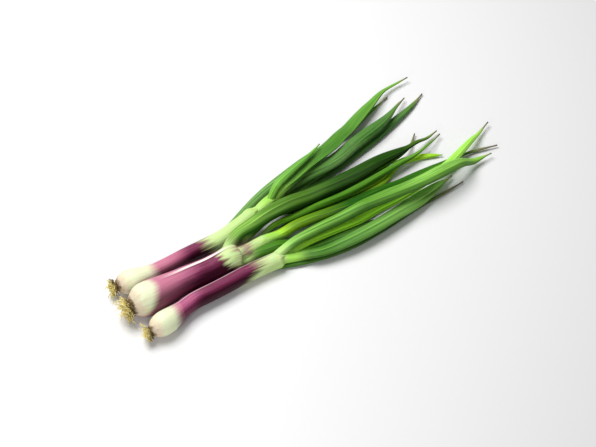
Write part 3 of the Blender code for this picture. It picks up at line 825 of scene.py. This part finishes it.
def leaf_material(name, leaf, look, length, seed, phase):
    """Waxy leaf: sheath colour at the base, then green, veins, creases, bloom and a dry tip.

    Painted shade darkens its side away from the light, a painted sheen lightens broad streaks, and
    the crease lines beside its fold are painted shade and painted highlight.
    """
    material, web, shader = start_material(
        name + "_skin", Subsurface_Weight=0.03, Subsurface_Scale=0.002, Specular_IOR_Level=0.15
    )
    uv, where = web.maps()
    colors, _ = skin_color(web, leaf.onion, uv, where, seed)
    streaks = use_group(web, "streaks", Map=uv, Round=2.4, Along=length / 55.0, Seed=seed + 7.0)
    fine = streaks["Fine"]
    broad = streaks["Broad"]
    share = web.parts(uv)[1]
    leave = look.bare / length
    tip = blend3(look.far, TIP, 0.6 * (1.0 - 0.8 * min(look.dry, 1.0)))
    green = web.ramp(
        share,
        [
            (leave, look.near),
            (max(look.hold, leave + 0.04), blend3(look.near, look.mid, 0.6)),
            (look.hold + 0.22, look.mid),
            (0.82, look.far),
            (0.97, tip),
        ],
    )
    vein = web.times(web.span(fine, 0.36, 0.64), min(0.65, 0.25 + look.under))
    broad_vein = web.times(web.span(broad, 0.36, 0.64), min(0.60, 0.20 + look.under))
    color = web.mix(vein, green, VEIN, "MULTIPLY")
    color = web.mix(broad_vein, color, BROAD_VEIN, "MULTIPLY")
    # painted shade: a darker green on the side away from the light, by the leaf's own amount
    color = web.mix(web.times(streaks["Under"], look.under), color, SHADE_GREEN, "MULTIPLY")
    # painted sheen: lighter broad streaks, fewer on leaves with more painted shade
    painted_sheen = web.times(web.span(broad, 0.54, 0.66), 0.35 - 0.28 * look.under)
    color = web.mix(painted_sheen, color, blend3(look.mid, SHEEN_GREEN, 0.5))
    dark, light = leaf_crease(web, uv, look, length, phase)
    # painted shade along the fold, then a painted highlight beside it
    color = web.mix(web.times(dark, 0.70), color, CREASE_SHADE, "MULTIPLY")
    color = web.mix(web.times(light, 0.55), color, CREASE_HIGHLIGHT, "MULTIPLY")
    away = web.span(share, leave * 0.55, leave + 8.0 / length)
    color = web.mix(away, colors["Color"], color)
    bloom = use_group(web, "bloom", Place=where, Scale=22.0, Amount=look.bloom)["Mask"]
    bloom = web.times(bloom, web.times(away, web.span(broad, 0.3, 0.6, 0.45, 1.0)))
    color = web.mix(web.times(bloom, 0.30), color, BLOOM)
    jag = web.plus(share, web.swing(fine, 0.08))
    straw = web.span(jag, 1.0 - 0.11 * look.dry - 0.02, 1.0 - 0.02, 0.0, 0.9)
    wither = web.span(jag, 1.0 - 0.06 * look.dry - 0.01, 1.005, 0.0, 0.9)
    dryness = min(look.dry * 2.0, 1.0)
    color = web.mix(web.times(straw, dryness), color, STRAW)
    color = web.mix(web.times(wither, dryness), color, WITHERED)
    rough = web.plus(web.span(fine, 0.25, 0.75, 0.36, 0.50), web.times(bloom, 0.22))
    rough = web.plus(rough, web.times(straw, 0.3))
    height = web.plus(web.times(fine, 0.6), web.times(broad, 0.4))
    web.wire(shader, color, rough, height, 0.6, 0.0008)
    return material


STEM_SIDES = 96
STEM_RINGS = 260
TEETH_REACH = 16.0  # length over which the sheath's teeth show
RIB_DEPTH = 0.07
PUCKER_REACH = 4.0  # length over which the root end's puckers fade
EDGE_STEP = 0.55  # how much the sheath's free edge stands out
EDGE_FALL = 0.22  # how fast it falls off, in radians
TUCK_LENGTH = 16.0  # length of the end that is tucked in


def stem_skin(onion):
    """Bulb, neck and stem as one skin.

    Each ring is a circle of the stem's radius, made uneven by two low waves round it, by shallow
    ribs that fade out over the leaves and by puckers near the roots, and cut flat at the table. The
    outer sheath ends in teeth: its radius is read a few millimetres back or ahead by two waves. The
    sheath's free edge stands out as a step round the ring that falls off by an exponential, and the
    end is tucked in under the leaf bases.
    """
    stem = STEMS[onion]
    fine = stem_line(stem, 600)
    share = np.linspace(0.0, 1.0, STEM_RINGS) ** 1.15
    line = resample(fine, share, np.linspace(0, 1, 600))
    angle = (2.0 * np.pi * np.arange(STEM_SIDES) / STEM_SIDES)[None, :]
    phase = 2.0 * stem.bulb_radius
    x = line[:, :1]
    broad_teeth = 4.0 * np.abs(np.sin(2.5 * angle + phase))
    teeth = broad_teeth + 2.5 * np.abs(np.sin(5.5 * angle + 2.0 * phase)) - 3.0
    near_edge = np.exp(-(((x - stem.sheath_x) / TEETH_REACH) ** 2))
    shift = (np.clip(x - stem.sheath_x, -8.0, 8.0) - teeth) * near_edge
    radius = stem_radius(stem, x + shift)
    waves = 0.012 * np.sin(2.0 * angle + x / 31.0 + phase)
    waves = waves + 0.008 * np.sin(3.0 * angle - x / 17.0 + phase)
    ribs = RIB_DEPTH * np.sin(19.0 * angle + 1.4 * np.sin(x / 23.0)) * ease((x - stem.bulb_x) / 25.0 + 0.3)
    near_root = np.exp(-(x - stem.plan[0][0]) / PUCKER_REACH)
    puckers = 0.35 * near_root * np.sin(13.0 * angle + phase) + 0.25 * near_root * np.sin(22.0 * angle)
    before = np.angle(np.exp(1j * (EDGE_PLACE[onion] + 0.10 * np.sin(x / 40.0) - angle)))
    reach = ease((x - stem.neck_x + 14.0) / 20.0) * ease((stem.sheath_x + 4.0 - x) / 16.0)
    fall = np.exp(-np.clip(before, 0.0, None) / EDGE_FALL)
    edge = EDGE_STEP * reach * fall * ease(before / 0.05 + 0.5)
    tuck = 1.0 - 0.7 * ease((x - stem.plan[-1][0] + TUCK_LENGTH) / TUCK_LENGTH)
    around = radius * (1.0 + waves) * tuck + ribs + puckers + edge
    side, rise = ring_axes(line)
    rings = ovals(line, side, rise, around * np.cos(angle), around * np.sin(angle))
    return ringed_mesh(onion + "_skin", rings, share)


LEAF_SIDES = 40
LEAF_RINGS = 190
WRAP = 24.0  # length over which a leaf hugs its stem
SKIN_STEP = 0.10  # how much each later leaf stands out at its base
WOBBLE = 0.35  # how far a leaf's middle sways to the sides
SHARPEN = 0.12  # how much the sides of a leaf's oval are drawn out
FOLD_GAIN = 1.9  # depth of a fold for each unit of its look


def leaf_skin(name, laid, rank):
    """A leaf as one skin, from the sheath round its stem to its tip.

    Each ring is an oval. Over the first stretch it eases from the stem's circle to the leaf's own
    half width and half thickness, while its middle moves off the stem's own line. The oval's sides
    are drawn out by a power of the sine. A lengthwise fold is a bell curve round the ring taken off
    its radius, and slow waves keep the edges uneven.
    """
    leaf = LEAVES[name]
    look = LOOKS[name]
    stem = STEMS[leaf.onion]
    line, half_width, half_thick = laid
    source = np.linspace(0.0, 1.0, len(line))
    t = np.linspace(0.0, 1.0, LEAF_RINGS)
    t = t + 0.10 * np.sin(np.pi * t) ** 2 * (1.0 - t)
    line = resample(line, t, source)
    length = np.linalg.norm(np.diff(line, axis=0), axis=1).sum()
    walked = t * length
    wrapped = 1.0 - ease(walked / WRAP)
    core = stem_line(stem, 400)
    center = resample(core, line[:, 0], core[:, 0])
    center[:, 0] = line[:, 0]
    line = center * wrapped[:, None] + line * (1.0 - wrapped[:, None])
    hug = stem_radius(stem, line[:, 0]) - 0.12 + (0.30 + SKIN_STEP * rank) * ease(walked / 12.0)
    hug -= 0.8 * np.exp(-(((line[:, 0] - stem.sheath_x) / 8.0) ** 2))
    half_width = np.interp(t, source, half_width) * (1.0 - wrapped) + hug * wrapped
    half_thick = np.interp(t, source, half_thick) * (1.0 - wrapped) + hug * wrapped
    own = 1.0 - wrapped
    phase = leaf_phase(leaf, rank)
    sway = own * (1.0 - 0.6 * t) * WOBBLE
    line[:, 1] += sway * np.sin(walked / 17.0 + phase)
    half_width = half_width * (1.0 + own * 0.035 * np.sin(walked / 11.0 + phase * 2.0))
    turn = np.radians(look.turn) * own * np.sin(1.3 * np.pi * t + 0.4 * phase)
    side, rise = ring_axes(line, turn)
    angle = (2.0 * np.pi * np.arange(LEAF_SIDES) / LEAF_SIDES)[None, :]
    wander = FOLD_SWING * np.sin(walked / FOLD_WAVE + phase)
    place_of_fold = np.radians(look.fold_place) + wander[:, None]
    away = np.angle(np.exp(1j * (angle - place_of_fold)))
    width_of_fold = 0.26 if look.fold < 0.0 else 0.30
    fold = FOLD_GAIN * look.fold * own * np.sin(np.pi * np.clip(t * 1.05, 0.0, 1.0)) ** 0.7
    dent = 1.0 - fold[:, None] * np.exp(-((away / width_of_fold) ** 2))
    sharp = 1.0 + (SHARPEN * own * (0.4 + 0.6 * t))[:, None]
    wide = half_width[:, None] * np.cos(angle) * dent
    tall = half_thick[:, None] * np.sign(np.sin(angle)) * np.abs(np.sin(angle)) ** sharp * dent
    rings = ovals(line, side, rise, wide, tall)
    return ringed_mesh(name, rings, t, 0.05), length


Tuft = namedtuple("Tuft", "count length spread")
TUFTS = {"back": Tuft(190, 5.4, 60), "middle": Tuft(280, 7.0, 62), "front": Tuft(170, 4.6, 60)}
ROOT_RINGS = 9
ROOT_SIDES = 5
GOLDEN_TURN = 2.399963


def root_end(onion):
    """The middle of an onion's root end, the direction out of it, and its radius."""
    stem = STEMS[onion]
    line = stem_line(stem, 60)
    out = line[0] - line[2]
    return line[0], out / np.linalg.norm(out), stem_radius(stem, line[:1, 0])[0]


def root_strands(onion, draw):
    """A tuft of roots as thin tubes, all worked out as one array.

    A root starts on a spiral of golden turns over the plate and leans out with its distance from
    the middle. It goes straight ahead by share u, bends by u squared, curls by a sine and a cosine
    that grow with u, and sags by u squared down to the table.
    """
    tuft = TUFTS[onion]
    middle, out, radius = root_end(onion)
    side = np.cross(out, [0.0, 0.0, 1.0])
    side /= np.linalg.norm(side)
    up = np.cross(side, out)
    number = np.arange(tuft.count)
    share = np.sqrt((number + 0.5) / tuft.count)
    turn = GOLDEN_TURN * number
    around = np.cos(turn)[:, None] * side + np.sin(turn)[:, None] * up
    lean = np.radians(tuft.spread * share + draw.normal(0.0, 7.0, tuft.count))
    heading = np.cos(lean)[:, None] * out + np.sin(lean)[:, None] * around
    length = tuft.length * draw.uniform(0.55, 1.20, tuft.count)
    bend = draw.normal(0.0, 0.35, (tuft.count, 3))
    base = middle + out * 0.6 + around * (radius * 0.82 * share)[:, None]
    u = np.linspace(0.0, 1.0, ROOT_RINGS)[None, :, None]
    long = length[:, None, None]
    path = base[:, None, :] + heading[:, None, :] * long * u + bend[:, None, :] * long * u**2
    spin = (draw.uniform(0.6, 1.5, tuft.count) * 2.0 * np.pi)[:, None, None] * u + turn[:, None, None]
    curl = 0.36 * long * u
    path = path + curl * (np.sin(spin) * side + np.cos(spin) * up)
    path[..., 2] -= (0.12 * long * u**2)[..., 0]
    thick = draw.uniform(0.42, 0.74, tuft.count)[:, None] * (1.0 - 0.50 * u[0, :, 0])[None, :]
    path[..., 2] = np.maximum(path[..., 2], thick + 0.05)
    ahead = unit(np.gradient(path, axis=1))
    across = unit(np.cross(ahead, [0.31, 0.52, 0.79]))
    rise = np.cross(ahead, across)
    angle = 2.0 * np.pi * np.arange(ROOT_SIDES) / ROOT_SIDES
    rings = (
        path[:, :, None, :]
        + thick[:, :, None, None] * np.cos(angle)[:, None] * across[:, :, None, :]
        + thick[:, :, None, None] * np.sin(angle)[:, None] * rise[:, :, None, :]
    )
    return many_tubes(onion + "_root_strands", rings)


def many_tubes(name, rings):
    """Join tubes of one size, given as tubes by rings by sides, into one closed-ended mesh."""
    tubes, count, sides = rings.shape[:3]
    row, one, around = quad_grid(count, sides)
    shift = (np.arange(tubes) * count * sides)[:, None, None]
    quads = (one[None] + shift).reshape(-1, 4)
    start = (np.arange(sides)[::-1][None] + shift[:, :, 0]).tolist()
    end = (np.arange(sides)[None] + (count - 1) * sides + shift[:, :, 0]).tolist()
    along = np.stack([row, row, row + 1, row + 1], -1).reshape(-1) / (count - 1)
    quad_map = np.column_stack([around, along])
    caps = np.zeros((2 * tubes * sides, 2))
    caps[tubes * sides :, 1] = 1.0
    corner_map = np.concatenate([np.tile(quad_map, (tubes, 1)), caps])
    return smooth_mesh(name, rings.reshape(-1, 3).copy(), [*quads.tolist(), *start, *end], corner_map)


PLATE_SIDES = 56


def root_plate(onion):
    """The hard button that the roots grow from: rings that close in, knobbly with root scars."""
    middle, out, radius = root_end(onion)
    share = np.linspace(0.0, 1.0, 22)
    inner, outer = -1.6, 3.0
    depth = inner + (outer - inner) * np.sin(share * np.pi / 2.0)
    width = radius * 1.02 * np.sqrt(np.clip(1.0 - (share * 0.97) ** 3.0, 0.0, 1.0))
    spine = middle + out * depth[:, None]
    side, rise = ring_axes(np.array([middle, middle + out]))
    angle = (2.0 * np.pi * np.arange(PLATE_SIDES) / PLATE_SIDES)[None, :]
    knobs = 0.30 * np.sin(11.0 * angle + 9.0 * share[:, None])
    knobs = knobs * np.sin(16.0 * share[:, None] + 2.0 * angle)
    around = width[:, None] + knobs * np.sin(np.pi * share)[:, None]
    rings = ovals(spine, side[:1], rise[:1], around * np.cos(angle), around * np.sin(angle))
    return ringed_mesh(onion + "_root_plate", rings, share, 0.1)


ROOT_SOIL = (0.07, 0.035, 0.01)
ROOT_COLORS = [
    (0.0, (0.03, 0.015, 0.005)),
    (0.28, (0.22, 0.14, 0.03)),
    (0.50, (0.66, 0.52, 0.15)),
    (1.0, (0.86, 0.75, 0.32)),
]
CORK_COLORS = [(0.3, (0.05, 0.028, 0.012)), (0.5, (0.16, 0.095, 0.035)), (0.7, (0.34, 0.24, 0.10))]


def root_material(onion):
    """Dry roots: dark with soil where they leave the plate, then straw, paler towards the ends."""
    material, web, shader = start_material(onion + "_root_straw", Specular_IOR_Level=0.3)
    uv, where = web.maps()
    share = web.parts(uv)[1]
    patch = web.noise(where, 330.0, 3.0, 0.6)
    place_on = web.plus(share, web.swing(patch, 1.0))
    color = web.ramp(place_on, ROOT_COLORS)
    root_x = place_x(STEMS[onion].plan[0][0])
    along = web.plus(web.parts(where)[0], web.swing(patch, 0.008))
    near_plate = web.span(along, root_x - 0.0050, root_x - 0.0005, 0.0, 0.9)
    color = web.mix(near_plate, color, ROOT_SOIL)
    web.wire(shader, color, web.span(patch, 0.3, 0.7, 0.62, 0.85), patch, 0.6, 0.0003)
    return material


def plate_material():
    """Brown corky root plate with dark soil in its hollows."""
    material, web, shader = start_material("root_plate_cork", Specular_IOR_Level=0.25)
    where = web.node("ShaderNodeTexCoord").outputs["Object"]
    patch = web.noise(where, 420.0, 5.0, 0.65)
    cells = web.node("ShaderNodeTexVoronoi", {"Vector": where, "Scale": 900.0}).outputs["Distance"]
    color = web.ramp(patch, CORK_COLORS)
    web.wire(shader, color, web.span(patch, 0.3, 0.7, 0.95, 0.75), cells, 0.8, 0.0006)
    return material


def dress():
    """Make every piece of the bunch."""
    draw = np.random.default_rng(11)
    laid = lay_all()
    cork = plate_material()
    for number, onion in enumerate(STEMS):
        skin = stem_material(onion, 5.0 + 3.0 * number)
        place(onion + "_skin", stem_skin(onion), skin, onion + "_bulb_and_stem")
        straw = root_material(onion)
        place(onion + "_root_strands", root_strands(onion, draw), straw, onion + "_roots")
        place(onion + "_root_plate", root_plate(onion), cork, onion + "_roots")
        own = [key for key in LEAVES if LEAVES[key].onion == onion]
        own.sort(key=lambda key: -LEAVES[key].start)
        for rank, key in enumerate(own):
            leaf = LEAVES[key]
            mesh, length = leaf_skin(key, laid[key], rank)
            seed = 2.3 * rank + number
            material = leaf_material(key, leaf, LOOKS[key], length, seed, leaf_phase(leaf, rank))
            place(key + "_skin", mesh, material, key)


VIEW_DOWN = math.radians(50.0)
VIEW_ROUND = math.radians(-33.0)
VIEW_AWAY = 1.30
FLOOR_HALF = 6.0
LAMPS = [("key", (-0.15, 0.45, 1.05), 17.5, 0.80), ("side", (-0.62, -0.42, 0.36), 1.9, 0.3)]
FILL = 0.13  # how much light the white surroundings give


def studio():
    """A plain pale floor, a wide soft lamp above, a weak one in front, white surroundings, a camera.

    The surroundings are white to the camera and light the bunch with only a weak fill.
    """
    level = math.cos(VIEW_DOWN)
    back = Vector(
        (math.sin(VIEW_ROUND) * level, -math.cos(VIEW_ROUND) * level, math.sin(VIEW_DOWN))
    )
    right = Vector((math.cos(VIEW_ROUND), math.sin(VIEW_ROUND), 0.0))
    up = back.cross(right)
    aim = Vector((-BUNCH_MIDDLE[0] * MM, -BUNCH_MIDDLE[1] * MM, 0.0))
    lens = bpy.data.cameras.new("camera")
    lens.lens = 85.0
    lens.sensor_width = 36.0
    camera = add("camera", lens)
    turn = Matrix((right, up, back)).transposed().to_4x4()
    camera.matrix_world = Matrix.Translation(aim + back * VIEW_AWAY) @ turn
    bpy.context.scene.camera = camera

    floor_mesh = bpy.data.meshes.new("floor")
    corners = [(x * FLOOR_HALF, y * FLOOR_HALF, 0) for x, y in ((-1, -1), (1, -1), (1, 1), (-1, 1))]
    floor_mesh.from_pydata(corners, [], [(0, 1, 2, 3)])
    floor = add("floor", floor_mesh)
    paint, _, shader = start_material("floor_paint", Roughness=0.8, Specular_IOR_Level=0.1)
    shader.inputs["Base Color"].default_value = (0.80, 0.80, 0.80, 1.0)
    floor_mesh.materials.append(paint)

    for label, spot, energy, size in LAMPS:
        lamp_data = bpy.data.lights.new(label, "AREA")
        lamp_data.energy = energy
        lamp_data.size = size
        lamp = add(label, lamp_data)
        lamp.location = spot
        lamp.rotation_euler = (-Vector(spot)).to_track_quat("-Z", "Y").to_euler()

    world = bpy.data.worlds.new("studio")
    world.use_nodes = True
    sky = Web(world.node_tree)
    seen = sky.node("ShaderNodeLightPath").outputs["Is Camera Ray"]
    background = world.node_tree.nodes["Background"]
    background.inputs["Color"].default_value = (1.0, 1.0, 1.0, 1.0)
    sky.put(sky.math("MULTIPLY_ADD", seen, 1.0 - FILL, FILL), background.inputs["Strength"])
    bpy.context.scene.world = world
    bpy.context.scene.view_settings.view_transform = "Standard"


dress()
studio()
